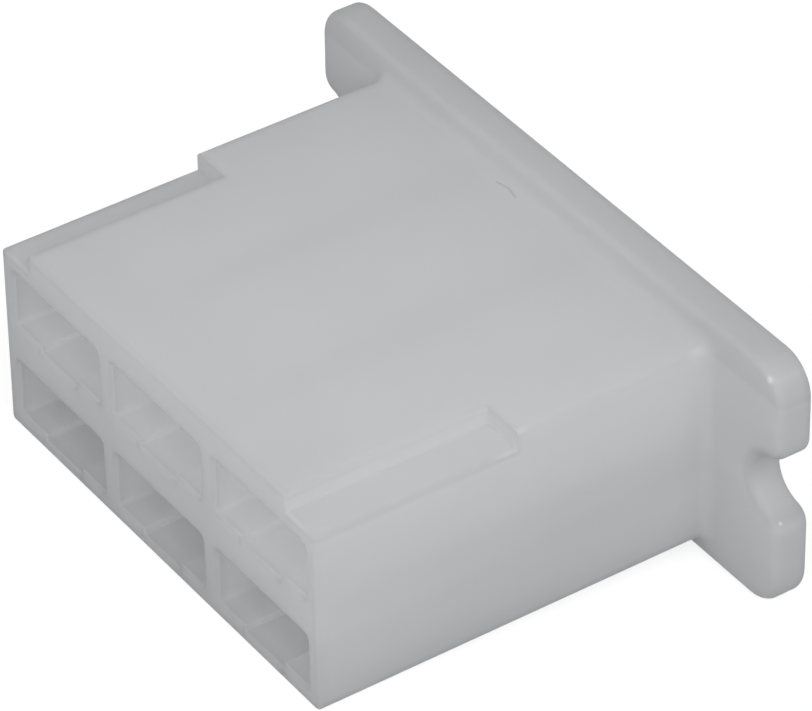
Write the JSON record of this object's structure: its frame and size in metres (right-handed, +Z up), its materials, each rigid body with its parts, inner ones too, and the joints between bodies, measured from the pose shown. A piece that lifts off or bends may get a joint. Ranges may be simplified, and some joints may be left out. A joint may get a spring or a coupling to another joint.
{
  "type": "connector housing",
  "caption": "One-piece moulded housing for crimp receptacles in a grid of through cavities, with a keyed plug end and a screw flange notched at both ends.",
  "frame": {"origin": "under the middle of the housing, level with the lower edge of the flange", "axes": "-Y out of the plug end, +Y out of the wire side, +X along the width, +Z up"},
  "size_m": [0.0388, 0.0246, 0.0146],
  "materials": {
    "nylon": "natural nylon, milky and slightly translucent, satin as moulded"
  },
  "bodies": {
    "root": {"housing": "nylon"}
  },
  "joints": []
}
